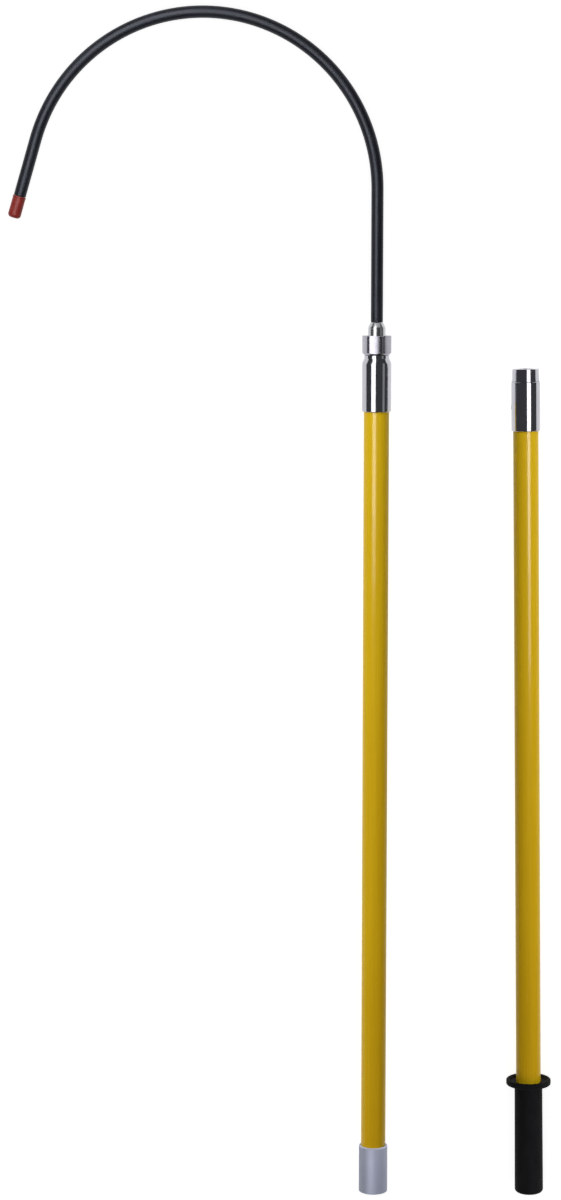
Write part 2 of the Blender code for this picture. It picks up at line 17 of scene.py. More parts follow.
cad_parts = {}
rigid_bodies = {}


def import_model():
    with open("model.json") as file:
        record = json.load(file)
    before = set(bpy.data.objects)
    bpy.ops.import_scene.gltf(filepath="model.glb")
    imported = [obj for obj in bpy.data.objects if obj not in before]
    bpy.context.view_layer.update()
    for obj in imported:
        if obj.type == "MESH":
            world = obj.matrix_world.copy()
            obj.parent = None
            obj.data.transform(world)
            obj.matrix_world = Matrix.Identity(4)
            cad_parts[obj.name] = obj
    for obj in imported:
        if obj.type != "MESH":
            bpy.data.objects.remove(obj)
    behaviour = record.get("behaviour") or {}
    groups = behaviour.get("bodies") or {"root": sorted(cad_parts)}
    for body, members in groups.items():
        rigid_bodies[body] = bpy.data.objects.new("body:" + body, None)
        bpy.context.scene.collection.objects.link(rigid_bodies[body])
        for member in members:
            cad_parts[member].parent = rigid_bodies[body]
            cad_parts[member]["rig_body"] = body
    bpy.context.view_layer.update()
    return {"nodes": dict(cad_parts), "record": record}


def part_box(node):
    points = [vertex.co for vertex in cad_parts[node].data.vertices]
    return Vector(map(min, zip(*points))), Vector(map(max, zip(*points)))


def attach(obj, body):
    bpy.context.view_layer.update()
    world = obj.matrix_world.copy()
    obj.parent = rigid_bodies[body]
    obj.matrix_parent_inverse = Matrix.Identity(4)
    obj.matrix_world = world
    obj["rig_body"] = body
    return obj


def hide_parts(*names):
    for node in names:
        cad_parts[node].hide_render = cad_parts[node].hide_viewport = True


# Camera, as in the photograph
CAMERA_DISTANCE = 3.5687
CAMERA_TIP = math.radians(7.67)
CAMERA_LENS_MM = 84.3
AIM_ACROSS = -0.0046
AIM_ALONG = 0.0185

# Facets
ROUND_SIDES = 96
SMALL_SIDES = 48
FILLET_STEPS = 5
BEND_STEP = 0.006
THREAD_STEPS = 10
NUT_ARC_STEPS = 6
NUT_EDGE_STEPS = 2
SURROUND_STEPS = 9
SHARP_ANGLE = math.radians(38)
TINY = 0.00001

# Clearances
OVERCUT = 0.002
FIT = 0.0003

# Threads
THREAD_PITCH = 0.002
THREAD_DEPTH = 0.0009
THREAD_RUNOUT = 0.0012

# Metalwork
SLEEVE_EDGE = 0.0006
SLEEVE_GRIP = 0.050
HEAD_SKIRT_LENGTH = 0.0607
HEAD_SHOULDER_LENGTH = 0.006
HEAD_SHOULDER_FILLET = 0.006
HEAD_NECK_DIAMETER = 0.0316
HEAD_NECK_LENGTH = 0.0043
HEAD_NECK_FILLET = 0.0012
BOSS_DIAMETER = 0.027
BOSS_CHAMFER = 0.001
FITTING_SPIGOT_DIAMETER = 0.018
FITTING_SPIGOT_LENGTH = 0.025
FITTING_FLANGE_DIAMETER = 0.0264
FITTING_FLANGE_HEIGHT = 0.004
FITTING_FLOOR = 0.004
COLLAR_DIAMETER = 0.022
COLLAR_TOP_DIAMETER = 0.0156
COLLAR_TOP_ROUNDING = 0.0012
COLLAR_SLOPE = 0.0065
COLLAR_ROUNDING = 0.007
NUT_ACROSS_FLATS = 0.03496
NUT_CROWN_ANGLE = math.radians(7)
NUT_CORNER_ROUNDING = 0.009
NUT_TURN = math.radians(-9)
NUT_LEDGE = 0.0053
NUT_TOP_CHAMFER = 0.0008
NUT_FOOT_CHAMFER = 0.003
NUT_EDGE = 0.00025
NUT_EDGE_ANGLE = math.radians(30)
NUT_MOUTH_SINK = 0.0009
SOCKET_LIP_ROUNDING = 0.0018
SPIGOT_DIAMETER = 0.034
SPIGOT_TOP_DIAMETER = 0.0336
SPIGOT_LENGTH = 0.016
SPIGOT_CHAMFER = 0.001
SPIGOT_SHOULDER_CHAMFER = 0.0008
SPIGOT_FLARE = 0.0005
SPIGOT_FLARE_LENGTH = 0.0035
STUD_DIAMETER = 0.016
STUD_CHAMFER = 0.0012
STUD_LENGTH = 0.013
STUD_BASE_THICKNESS = 0.003
STUD_STEM_DIAMETER = 0.010
STUD_BORE_DEPTH = 0.018
STUD_BORE_CHAMFER = 0.001
PIN_DOME = 0.0003

# Tubes, hook and handle
TUBE_WALL = 0.003
TUBE_EDGE = 0.0004
BAR_DIAMETER = 0.012
BEND_RADIUS = 0.2175
BEND_ANGLE = math.radians(163.5)
SHANK_LENGTH = 0.165
LEG_LENGTH = 0.101
SLEEVE_MOUTH_ROUNDING = 0.0006
CAP_DIAMETER = 0.0167
CAP_LENGTH = 0.0275
CAP_END_WALL = 0.003
CAP_ROUNDING = 0.0045
CAP_BEAD = 0.0004
CAP_BEAD_WIDTH = 0.0016
GRIP_TOP_DIAMETER = 0.0358
GRIP_END_WALL = 0.004
GRIP_ROUNDING = 0.0045
GUARD_RIM_WIDTH = 0.004
GUARD_RIM_ROUNDING = 0.0018
GUARD_DISH = 0.0032
GUARD_DISH_SLOPE = 0.0016
GUARD_DISH_ROUNDING = 0.0012

# Floor and surround
FLOOR_SIZE = 40.0
FLOOR_DROP = 0.0003
FLOOR_GREY = 0.9
FLOOR_GLOW = 0.85
SURROUND_GREY = 0.0
SURROUND_GLOW = 0.905
STAGE_ROUGHNESS = 0.7

# Light
SKY = (0.9, 0.95, 1.0)
SKY_STRENGTH = 0.07
WHITE = (1.0, 1.0, 1.0)
WARM = (1.0, 0.5, 0.2)
COOL = (0.92, 0.92, 1.0)
PANEL_HEIGHT = 1.5
FOOT_LAMP_HEIGHT = 1.8
FOOT_LAMP_SIZE = (1.5, 1.5)
SIDE_LAMP_SIZE = (1.2, 1.8)
ARM_CARD_PLACE = (-0.5, 1.155)
ARM_CARD_SIZE = (0.92, 2.09)

# Numbers of the Mix node's sockets when it mixes colours
MIX_FACTOR = 0
MIX_FIRST = 6
MIX_SECOND = 7
MIX_RESULT = 2


class Value:
    """A shader socket that takes part in sums: each operator adds its Math node."""

    def __init__(self, finish, node, output=0):
        self.finish = finish
        self.socket = node.outputs[output]

    def math(self, operation, first, second):
        return self.finish.node("Math", {"operation": operation}, {0: first, 1: second})

    def __add__(self, other):
        return self.math("ADD", self, other)

    def __radd__(self, other):
        return self.math("ADD", other, self)

    def __sub__(self, other):
        return self.math("SUBTRACT", self, other)

    def __rsub__(self, other):
        return self.math("SUBTRACT", other, self)

    def __mul__(self, other):
        return self.math("MULTIPLY", self, other)

    def __rmul__(self, other):
        return self.math("MULTIPLY", other, self)

    def within(self, low, high):
        """0 at and below low, 1 at and above high, and a straight rise between them."""
        settings = {"interpolation_type": "LINEAR", "clamp": True}
        inputs = {"Value": self, "From Min": low, "From Max": high}
        return self.finish.node("MapRange", settings, inputs)


class Finish:
    """A material and the nodes that vary it over a piece."""

    def __init__(self, name, **constants):
        self.material = bpy.data.materials.new(name)
        self.material.use_nodes = True
        self.tree = self.material.node_tree
        self.shader = self.tree.nodes["Principled BSDF"]
        for socket, value in constants.items():
            self.shader.inputs[socket.replace("_", " ")].default_value = value

    def node(self, kind, settings=None, inputs=None, output=0):
        """Adds a node: its settings first, then the values or links of its sockets."""
        node = self.tree.nodes.new("ShaderNode" + kind)
        for setting, value in (settings or {}).items():
            setattr(node, setting, value)
        for socket, value in (inputs or {}).items():
            if isinstance(value, Value):
                self.tree.links.new(value.socket, node.inputs[socket])
            else:
                node.inputs[socket].default_value = value
        return Value(self, node, output)

    def place(self, stretch=(1, 1, 1)):
        """The place on a straight piece, in metres along each of its axes, times a stretch."""
        return self.scaled(self.node("TexCoord", output="Object"), stretch)

    def straight_place(self, stretch):
        """The place that a bent piece's surface had before it was bent."""
        place = self.node("Attribute", {"attribute_name": "straight"}, output="Vector")
        return self.scaled(place, stretch)

    def scaled(self, place, stretch):
        return self.node("VectorMath", {"operation": "MULTIPLY"}, {0: place, 1: stretch})

    def noise(self, place, detail=2.0, roughness=0.5):
        inputs = {"Vector": place, "Scale": 1.0, "Detail": detail, "Roughness": roughness}
        return self.node("TexNoise", None, inputs)

    def mix(self, factor, first, second):
        """A colour part of the way between two others."""
        inputs = {MIX_FACTOR: factor, MIX_FIRST: first, MIX_SECOND: second}
        return self.node("Mix", {"data_type": "RGBA"}, inputs, MIX_RESULT)

    def feed(self, socket, value):
        self.tree.links.new(value.socket, self.shader.inputs[socket])

    def bump(self, height, depth, strength):
        """Lifts the surface by a height, from 0 to 1, times a depth in metres."""
        inputs = {"Height": height, "Distance": depth, "Strength": strength}
        self.feed("Normal", self.node("Bump", None, inputs))


def tone(red, green, blue):
    return (red, green, blue, 1.0)


def yellow_fibreglass():
    """Pigmented resin over lengthwise glass rovings, under a clear gloss."""
    finish = Finish("yellow_fibreglass_gloss", Coat_Roughness=0.09, Specular_IOR_Level=0.06)
    rovings = finish.noise(finish.place((1400, 1400, 5)), detail=3.0)
    wrap = finish.noise(finish.place((160, 160, 60)))
    cloud = finish.noise(finish.place((9, 9, 4)), detail=1.0)
    scuffs = finish.noise(finish.place((260, 260, 24)), detail=4.0, roughness=0.7).within(0.58, 0.75)
    resin = tone(0.60, 0.405, 0.006)
    light_resin = tone(0.69, 0.480, 0.012)
    deep_resin = tone(0.55, 0.345, 0.005)
    streaked = finish.mix(rovings.within(0.3, 0.7), resin, light_resin)
    finish.feed("Base Color", finish.mix(0.35 * cloud.within(0.3, 0.7), streaked, deep_resin))
    finish.feed("Roughness", 0.26 + 0.14 * scuffs)
    finish.feed("Coat Weight", 0.15 - 0.06 * scuffs)
    finish.bump(0.7 * rovings + 0.3 * wrap, depth=0.00004, strength=0.35)
    return finish.material


def chrome():
    """Polished plate with faint turning lines and handling smears."""
    finish = Finish("polished_chrome", Metallic=1.0)
    smear = finish.noise(finish.place((70, 70, 40)), detail=4.0, roughness=0.6)
    lines = finish.noise(finish.place((12, 12, 5200)))
    clean = tone(0.51, 0.51, 0.55)
    smeared = tone(0.45, 0.45, 0.49)
    finish.feed("Base Color", finish.mix(smear.within(0.35, 0.75), clean, smeared))
    finish.feed("Roughness", 0.10 + 0.08 * smear.within(0.5, 0.8))
    finish.bump(lines, depth=0.00001, strength=0.12)
    return finish.material


def satin_chrome(name, clean, smeared):
    """Plate over a surface that was not polished, with faint turning lines and handling smears."""
    finish = Finish(name, Metallic=1.0)
    smear = finish.noise(finish.place((90, 90, 60)), detail=4.0, roughness=0.6)
    lines = finish.noise(finish.place((16, 16, 4200)))
    finish.feed("Base Color", finish.mix(smear.within(0.35, 0.75), clean, smeared))
    finish.feed("Roughness", 0.20 + 0.08 * smear)
    finish.bump(lines, depth=0.00002, strength=0.2)
    return finish.material


def satin_aluminium():
    """Turned and lightly anodised aluminium: fine rings with soft stains."""
    finish = Finish("turned_aluminium", Metallic=0.5)
    rings = finish.noise(finish.place((18, 18, 7000)), detail=3.0)
    stain = finish.noise(finish.place((60, 60, 26)), detail=4.0, roughness=0.6)
    clean = tone(0.305, 0.322, 0.395)
    stained = tone(0.280, 0.296, 0.365)
    finish.feed("Base Color", finish.mix(stain.within(0.3, 0.7), clean, stained))
    finish.feed("Roughness", 0.50 + 0.08 * stain + 0.05 * rings)
    finish.bump(rings, depth=0.00003, strength=0.3)
    return finish.material


def plain_steel():
    """Bare steel with a fine, even grain."""
    finish = Finish("plain_steel", Metallic=1.0)
    grain = finish.noise(finish.place((900, 900, 900)), detail=3.0)
    finish.feed("Base Color", finish.mix(grain, tone(0.50, 0.50, 0.52), tone(0.62, 0.62, 0.64)))
    finish.feed("Roughness", 0.26 + 0.18 * grain)
    finish.bump(grain, depth=0.00002, strength=0.25)
    return finish.material


def black_sleeve():
    """Shrunk polymer sleeve: near black, a little ribbed along its length and dusty in places."""
    sheen = tone(0.86, 0.90, 1.0)
    finish = Finish("shrunk_black_sleeve", Specular_IOR_Level=0.3, Specular_Tint=sheen)
    skin = finish.noise(finish.straight_place((1500, 1500, 220)), detail=3.0)
    patches = finish.noise(finish.straight_place((110, 110, 22)), detail=5.0, roughness=0.65)
    dust = patches.within(0.45, 0.8)
    clean = tone(0.0060, 0.0065, 0.0105)
    dusty = tone(0.013, 0.0145, 0.021)
    finish.feed("Base Color", finish.mix(dust, clean, dusty))
    finish.feed("Roughness", 0.40 + 0.12 * dust)
    finish.bump(skin, depth=0.00006, strength=0.35)
    return finish.material


def red_cap():
    """Dipped soft cap with a slightly mottled gloss."""
    finish = Finish("dipped_red_cap", Specular_IOR_Level=0.22)
    mottle = finish.noise(finish.straight_place((240, 240, 160)), detail=3.0)
    deep_red = tone(0.175, 0.014, 0.011)
    light_red = tone(0.235, 0.022, 0.016)
    finish.feed("Base Color", finish.mix(mottle.within(0.3, 0.7), deep_red, light_red))
    finish.feed("Roughness", 0.36 + 0.14 * mottle)
    finish.bump(mottle, depth=0.00008, strength=0.3)
    return finish.material


def black_rubber():
    """Moulded rubber: a fine matt grain with a grey bloom."""
    finish = Finish("moulded_black_rubber", Specular_IOR_Level=0.02)
    grain = finish.noise(finish.place((2600, 2600, 2600)))
    bloom = finish.noise(finish.place((80, 80, 34)), detail=4.0, roughness=0.6).within(0.4, 0.8)
    black = tone(0.0144, 0.0147, 0.0156)
    grey = tone(0.0212, 0.0215, 0.0227)
    finish.feed("Base Color", finish.mix(bloom, black, grey))
    finish.feed("Roughness", 0.52 + 0.14 * bloom)
    finish.bump(grain, depth=0.00008, strength=0.4)
    return finish.material


def brass():
    """Plain brass, duller where it has tarnished."""
    finish = Finish("plain_brass", Metallic=1.0)
    tarnish = finish.noise(finish.place((300, 300, 300)), detail=3.0)
    finish.feed("Base Color", finish.mix(tarnish, tone(0.62, 0.44, 0.18), tone(0.74, 0.56, 0.26)))
    finish.feed("Roughness", 0.30 + 0.15 * tarnish)
    return finish.material


def grey_plastic():
    """Moulded plastic with a fine grain."""
    finish = Finish("moulded_grey_plastic")
    grain = finish.noise(finish.place((1200, 1200, 1200)))
    finish.feed("Base Color", finish.mix(grain, tone(0.21, 0.21, 0.22), tone(0.27, 0.27, 0.28)))
    finish.feed("Roughness", 0.45 + 0.12 * grain)
    finish.bump(grain, depth=0.00004, strength=0.3)
    return finish.material


def cell_foam():
    """Rigid foam of small closed cells."""
    finish = Finish("closed_cell_foam", Roughness=0.9)
    inputs = {"Vector": finish.place(), "Scale": 900.0}
    cells = finish.node("TexVoronoi", None, inputs, output="Distance")
    finish.feed("Base Color", finish.mix(cells, tone(0.60, 0.53, 0.34), tone(0.78, 0.71, 0.48)))
    finish.bump(cells, depth=0.0003, strength=0.6)
    return finish.material


def section_frame(origin, along, front):
    """Local Z runs along a section's pole, and local -Y looks up at the viewer."""
    z = along.normalized()
    y = -(front - front.project(z)).normalized()
    x = y.cross(z)
    return Matrix.Translation(origin) @ Matrix((x, y, z)).transposed().to_4x4()


def middle(node):
    low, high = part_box(node)
    return (low + high) / 2


def hook_frame():
    """The hook section lies along +Y, rolled a little so that the tip of the hook touches the floor."""
    axis = middle("upper_tube")
    along = Vector((0, 1, 0))
    to_tip = middle("tip_cap") - axis
    origin = Vector((axis.x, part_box("socket_sleeve")[0].y, axis.z))
    return section_frame(origin, along, along.cross(to_tip))


def handle_frame():
    """The handle section's place and slope are those of the face of its grip."""
    grip_end = next(mount for mount in frame["record"]["mounts"] if mount["name"] == "grip_end_face")
    return section_frame(Vector(grip_end["pos_m"]), -Vector(grip_end["axis"]), Vector((0, 0, 1)))


def reach(node, section):
    """A node's lowest and highest corner in its section's own axes."""
    to_section = section.inverted()
    places = [to_section @ vertex.co for vertex in frame["nodes"][node].data.vertices]
    low = Vector(min(place[i] for place in places) for i in range(3))
    high = Vector(max(place[i] for place in places) for i in range(3))
    return low, high


def filleted(corners, closed=False):
    """The profile through (radius, height, fillet) corners, with each fillet as an arc."""
    points = []
    count = len(corners)
    for i, corner in enumerate(corners):
        here = Vector(corner[:2])
        fillet = corner[2] if len(corner) > 2 else 0
        if not fillet or (not closed and i in (0, count - 1)):
            points.append(here)
            continue
        back = (Vector(corners[i - 1][:2]) - here).normalized()
        ahead = (Vector(corners[(i + 1) % count][:2]) - here).normalized()
        half = back.angle(ahead) / 2
        centre = here + (back + ahead).normalized() * fillet / math.sin(half)
        first = (here + back * fillet / math.tan(half) - centre).normalized()
        last = (here + ahead * fillet / math.tan(half) - centre).normalized()
        for step in range(FILLET_STEPS + 1):
            points.append(centre + fillet * first.slerp(last, step / FILLET_STEPS))
    return points


def threaded(radius, start, stop):
    """Corners close enough to take a thread, from one height to another."""
    steps = math.ceil(abs(stop - start) / THREAD_PITCH * THREAD_STEPS)
    return [(radius, start + (stop - start) * step / steps) for step in range(steps + 1)]


def along_bend(radius, start, stop):
    """Corners close enough to follow the hook's bend, from one height to another."""
    steps = math.ceil(abs(stop - start) / BEND_STEP)
    return [(radius, start + (stop - start) * step / steps) for step in range(steps + 1)]


def cut_thread(mesh, radius, foot, top, in_bore):
    """Cuts a right-hand V thread in the rings of a turned mesh at a radius, between two heights."""
    for vertex in mesh.vertices:
        across = vertex.co.xy
        height = vertex.co.z
        if abs(across.length - radius) > TINY or not foot <= height <= top:
            continue
        turn = math.atan2(across.y, across.x) / math.tau
        flank = abs(2 * ((height / THREAD_PITCH - turn) % 1) - 1)
        fade = min(1, (height - foot) / THREAD_RUNOUT, (top - height) / THREAD_RUNOUT)
        depth = THREAD_DEPTH * flank * fade * (-1 if in_bore else 1)
        vertex.co.xy = across.normalized() * (radius - depth)


def turned(name, corners, closed=False, sides=ROUND_SIDES, bend=None, thread=None):
    """A mesh turned about Z from a profile whose corners run down its outer side.

    An open profile starts and ends on the axis. A closed one goes back up a bore to where it started.
    A bend moves each place once it is turned. A thread is given as a radius, a foot, a top and whether
    it is in a bore.
    """
    shape = bmesh.new()
    straight = shape.verts.layers.float_vector.new("straight")
    rings = []
    for point in filleted(corners, closed):
        ring = []
        for i in range(sides if point.x > TINY else 1):
            angle = math.tau * i / sides
            place = Vector((point.x * math.cos(angle), point.x * math.sin(angle), point.y))
            vertex = shape.verts.new(bend(place) if bend else place)
            vertex[straight] = place
            ring.append(vertex)
        rings.append(ring)
    for upper, lower in zip(rings, rings[1:] + rings[:1] if closed else rings[1:]):
        for i in range(sides):
            after = (i + 1) % sides
            around = [upper[i % len(upper)], lower[i % len(lower)]]
            around += [lower[after % len(lower)], upper[after % len(upper)]]
            face = list(dict.fromkeys(around))
            if len(face) > 2:
                shape.faces.new(face)
    mesh = bpy.data.meshes.new(name)
    bmesh.ops.recalc_face_normals(shape, faces=shape.faces)
    shape.to_mesh(mesh)
    shape.free()
    if thread:
        cut_thread(mesh, *thread)
    mesh.shade_smooth()
    mesh.set_sharp_from_angle(angle=SHARP_ANGLE)
    return mesh


def loose(mesh):
    """An object for a mesh that isn't a piece yet."""
    obj = bpy.data.objects.new(mesh.name, mesh)
    bpy.context.scene.collection.objects.link(obj)
    return obj


def carved(mesh, operation, cutter):
    """A mesh after a Boolean with a cutter, which is used up."""
    obj = loose(mesh)
    tool = loose(cutter)
    boolean = obj.modifiers.new("carve", "BOOLEAN")
    boolean.operation = operation
    boolean.object = tool
    return applied(obj, tool)


def applied(obj, *tools):
    """The mesh that an object's modifiers make. The object and its tools are removed."""
    graph = bpy.context.evaluated_depsgraph_get()
    mesh = bpy.data.meshes.new_from_object(obj.evaluated_get(graph))
    mesh.name = obj.data.name
    mesh.set_sharp_from_angle(angle=SHARP_ANGLE)
    for used in (obj, *tools):
        bpy.data.objects.remove(used)
    return mesh


def lay_across(mesh, height):
    """Lays an upright mesh along X, so that it crosses the pole at a height."""
    mesh.transform(Matrix.Translation((0, 0, height)) @ Matrix.Rotation(math.pi / 2, 4, "Y"))


def add_piece(name, mesh, section, body, slot, node, finish=None):
    """Lays a piece on its section's pole, on a body of the frame, in place of a node."""
    mesh.materials.clear()
    mesh.materials.append(finishes[finish or slot])
    piece = bpy.data.objects.new(name, mesh)
    bpy.context.scene.collection.objects.link(piece)
    piece.matrix_world = section
    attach(piece, body)
    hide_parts(node)


def add_tube(name, section, body):
    """A fibreglass tube with softened ends."""
    low, high = reach(name, section)
    radius = high.x
    bore = radius - TUBE_WALL
    corners = [
        (bore, high.z, TUBE_EDGE),
        (radius, high.z, TUBE_EDGE),
        (radius, low.z, TUBE_EDGE),
        (bore, low.z, TUBE_EDGE),
    ]
    mesh = turned(name + "_skin", corners, closed=True)
    add_piece(name + "_skin", mesh, section, body, "yellow_fibreglass", name)


def add_pin(name, section, body):
    """A cross pin with slightly domed ends, lying across the pole."""
    low, high = reach(name, section)
    radius = (high.z - low.z) / 2
    corners = [
        (0, high.x),
        (radius, high.x - PIN_DOME, PIN_DOME),
        (radius, low.x + PIN_DOME, PIN_DOME),
        (0, low.x),
    ]
    mesh = turned(name + "_dowel", corners, sides=SMALL_SIDES)
    lay_across(mesh, (high.z + low.z) / 2)
    add_piece(name + "_dowel", mesh, section, body, "steel", name)


def pin_hole(pin, section):
    """The cutter that makes a cross pin's hole in what is round it."""
    low, high = reach(pin, section)
    radius = (high.z - low.z) / 2 + FIT
    half = (high.x - low.x + OVERCUT) / 2
    mesh = turned("drill", [(0, half), (radius, half), (radius, -half), (0, -half)], sides=SMALL_SIDES)
    lay_across(mesh, (high.z + low.z) / 2)
    return mesh


def add_head_ferrule(section):
    """Chromed ferrule: a skirt over the tube, a sloped shoulder, a neck and the threaded boss."""
    low, high = reach("head_ferrule", section)
    radius = high.x
    bore = reach("upper_tube", section)[1].x + FIT
    foot = low.z
    boss_top = high.z
    shoulder = foot + HEAD_SKIRT_LENGTH
    neck_foot = shoulder + HEAD_SHOULDER_LENGTH
    neck_top = neck_foot + HEAD_NECK_LENGTH - FIT
    neck = HEAD_NECK_DIAMETER / 2
    boss = BOSS_DIAMETER / 2
    thread_top = boss_top - BOSS_CHAMFER
    seat = FITTING_SPIGOT_DIAMETER / 2 + FIT
    seat_floor = boss_top - FITTING_SPIGOT_LENGTH - 2 * FIT
    floor = foot + SLEEVE_GRIP
    corners = [
        (0, seat_floor),
        (seat, seat_floor),
        (seat, boss_top, FIT),
        (boss - BOSS_CHAMFER, boss_top),
        *threaded(boss, thread_top, neck_top),
        (neck, neck_top, SLEEVE_EDGE),
        (neck, neck_foot, HEAD_NECK_FILLET),
        (radius, shoulder, HEAD_SHOULDER_FILLET),
        (radius, foot, SLEEVE_EDGE),
        (bore, foot, FIT),
        (bore, floor),
        (0, floor),
    ]
    mesh = turned("head_ferrule_plated", corners, thread=(boss, neck_top, thread_top, False))
    mesh = carved(mesh, "DIFFERENCE", pin_hole("head_ferrule_pin", section))
    add_piece("head_ferrule_plated", mesh, section, "hook_section", "chrome", "head_ferrule")


def add_hook_fitting(section):
    """Turned end fitting of the hook: a spigot, the flange under the nut and a rounded collar."""
    low, high = reach("hook_fitting", section)
    spigot = FITTING_SPIGOT_DIAMETER / 2
    flange = FITTING_FLANGE_DIAMETER / 2
    flange_foot = low.z + FITTING_SPIGOT_LENGTH
    flange_top = flange_foot + FITTING_FLANGE_HEIGHT
    collar = COLLAR_DIAMETER / 2
    bore = BAR_DIAMETER / 2 + FIT
    floor = low.z + FITTING_FLOOR
    corners = [
        (0, floor),
        (bore, floor),
        (bore, high.z, FIT),
        (COLLAR_TOP_DIAMETER / 2, high.z, COLLAR_TOP_ROUNDING),
        (collar, high.z - COLLAR_SLOPE, COLLAR_ROUNDING),
        (collar, flange_top, FIT),
        (flange, flange_top, SLEEVE_EDGE),
        (flange, flange_foot, SLEEVE_EDGE),
        (spigot, flange_foot),
        (spigot, low.z, SLEEVE_EDGE),
        (0, low.z),
    ]
    mesh = turned("hook_fitting_plated", corners)
    add_piece("hook_fitting_plated", mesh, section, "hook_head", "chrome", "hook_fitting", "collar_chrome")


def crowned_hexagon(name, top, foot):
    """A hexagon prism whose flats bulge a little between rounded corners, as if polished by hand."""
    flat = NUT_ACROSS_FLATS / 2
    sixth = math.pi / 3
    slope = math.tan(sixth / 2)
    run = math.cos(NUT_CROWN_ANGLE)
    rise = math.sin(NUT_CROWN_ANGLE)
    crown = (slope * flat + NUT_CORNER_ROUNDING * (rise - slope * run)) / (rise + slope * (1 - run))
    crown_centre = Vector((flat - crown, 0))
    corner_centre = crown_centre + (crown - NUT_CORNER_ROUNDING) * Vector((run, rise))
    arcs = [
        (crown_centre, crown, -NUT_CROWN_ANGLE, NUT_CROWN_ANGLE),
        (corner_centre, NUT_CORNER_ROUNDING, NUT_CROWN_ANGLE, sixth - NUT_CROWN_ANGLE),
    ]
    shape = bmesh.new()
    outline = []
    for side in range(6):
        turn = Matrix.Rotation(sixth * (side + 0.5) + NUT_TURN, 2)
        for centre, radius, start, stop in arcs:
            for step in range(NUT_ARC_STEPS):
                angle = start + (stop - start) * step / NUT_ARC_STEPS
                place = turn @ (centre + radius * Vector((math.cos(angle), math.sin(angle))))
                outline.append(shape.verts.new((*place, foot)))
    base = shape.faces.new(outline)
    raised = bmesh.ops.extrude_face_region(shape, geom=[base])["geom"]
    corners = [item for item in raised if isinstance(item, bmesh.types.BMVert)]
    bmesh.ops.translate(shape, verts=corners, vec=(0, 0, top - foot))
    bmesh.ops.recalc_face_normals(shape, faces=shape.faces)
    mesh = bpy.data.meshes.new(name)
    shape.to_mesh(mesh)
    shape.free()
    mesh.shade_smooth()
    return mesh


def add_union_nut(section):
    """Hexagon nut, chamfered by turning, with softened edges and a plain bore below its ledge."""
    low, high = reach("union_nut", section)
    foot = low.z
    top = high.z
    prism = crowned_hexagon("union_nut_plated", top, foot)
    corner = max(vertex.co.xy.length for vertex in prism.vertices)
    blank = [
        (0, top + FIT),
        (corner - NUT_TOP_CHAMFER, top + FIT),
        (corner + FIT, top - NUT_TOP_CHAMFER),
        (corner + FIT, foot + NUT_FOOT_CHAMFER, NUT_FOOT_CHAMFER),
        (corner - NUT_FOOT_CHAMFER, foot - FIT),
        (0, foot - FIT),
    ]
    mesh = carved(prism, "INTERSECT", turned("blank", blank))
    softened = loose(mesh)
    bevel = softened.modifiers.new("soften", "BEVEL")
    bevel.width = NUT_EDGE
    bevel.segments = NUT_EDGE_STEPS
    bevel.limit_method = "ANGLE"
    bevel.angle_limit = NUT_EDGE_ANGLE
    mesh = applied(softened)
    bore = BOSS_DIAMETER / 2 + FIT
    mouth = bore + NUT_MOUTH_SINK
    mouth_top = foot + NUT_MOUTH_SINK + FIT
    ledge_bore = COLLAR_DIAMETER / 2 + FIT
    ledge_mouth = ledge_bore + SLEEVE_EDGE
    ledge = top - NUT_LEDGE
    # The bore has the rings that a thread needs, but no thread is cut in it
    hollow = [
        (0, top + OVERCUT),
        (ledge_mouth, top + OVERCUT),
        (ledge_mouth, top),
        (ledge_bore, top - SLEEVE_EDGE),
        (ledge_bore, ledge),
        (bore, ledge),
        *threaded(bore, ledge - FIT, mouth_top),
        (mouth, foot),
        (mouth, foot - OVERCUT),
        (0, foot - OVERCUT),
    ]
    finished = loose(carved(mesh, "DIFFERENCE", turned("hollow", hollow)))
    finished.modifiers.new("keep_flats", "WEIGHTED_NORMAL").keep_sharp = True
    mesh = applied(finished)
    add_piece("union_nut_plated", mesh, section, "union_nut", "chrome", "union_nut", "nut_chrome")


def on_hook(place):
    """Bends a straight place along the hook: up the shank, round the bend and down the leg."""
    past = place.z - bend_start
    if past <= 0:
        return place
    angle = min(past / BEND_RADIUS, BEND_ANGLE)
    beyond = past - BEND_RADIUS * angle
    spoke = Vector((BEND_RADIUS + place.x, place.y, beyond))
    return Vector((-BEND_RADIUS, 0, bend_start)) + Matrix.Rotation(-angle, 3, "Y") @ spoke


def add_hook_sleeve(section, collar_top, cap_mouth):
    """The black sleeve, closely shrunk on the bar, with rounded mouths."""
    radius = reach("hook_sleeve", section)[1].x
    bore = BAR_DIAMETER / 2 + FIT
    foot = collar_top + FIT
    top = cap_mouth - FIT
    rim = SLEEVE_MOUTH_ROUNDING
    outer = along_bend(radius, top - BEND_STEP, foot + BEND_STEP)
    inner = along_bend(bore, foot, top)
    corners = [(radius, top, rim), *outer, (radius, foot, rim), *inner]
    mesh = turned("hook_sleeve_skin", corners, closed=True, sides=SMALL_SIDES, bend=on_hook)
    add_piece("hook_sleeve_skin", mesh, section, "hook_head", "black_sleeve", "hook_sleeve")


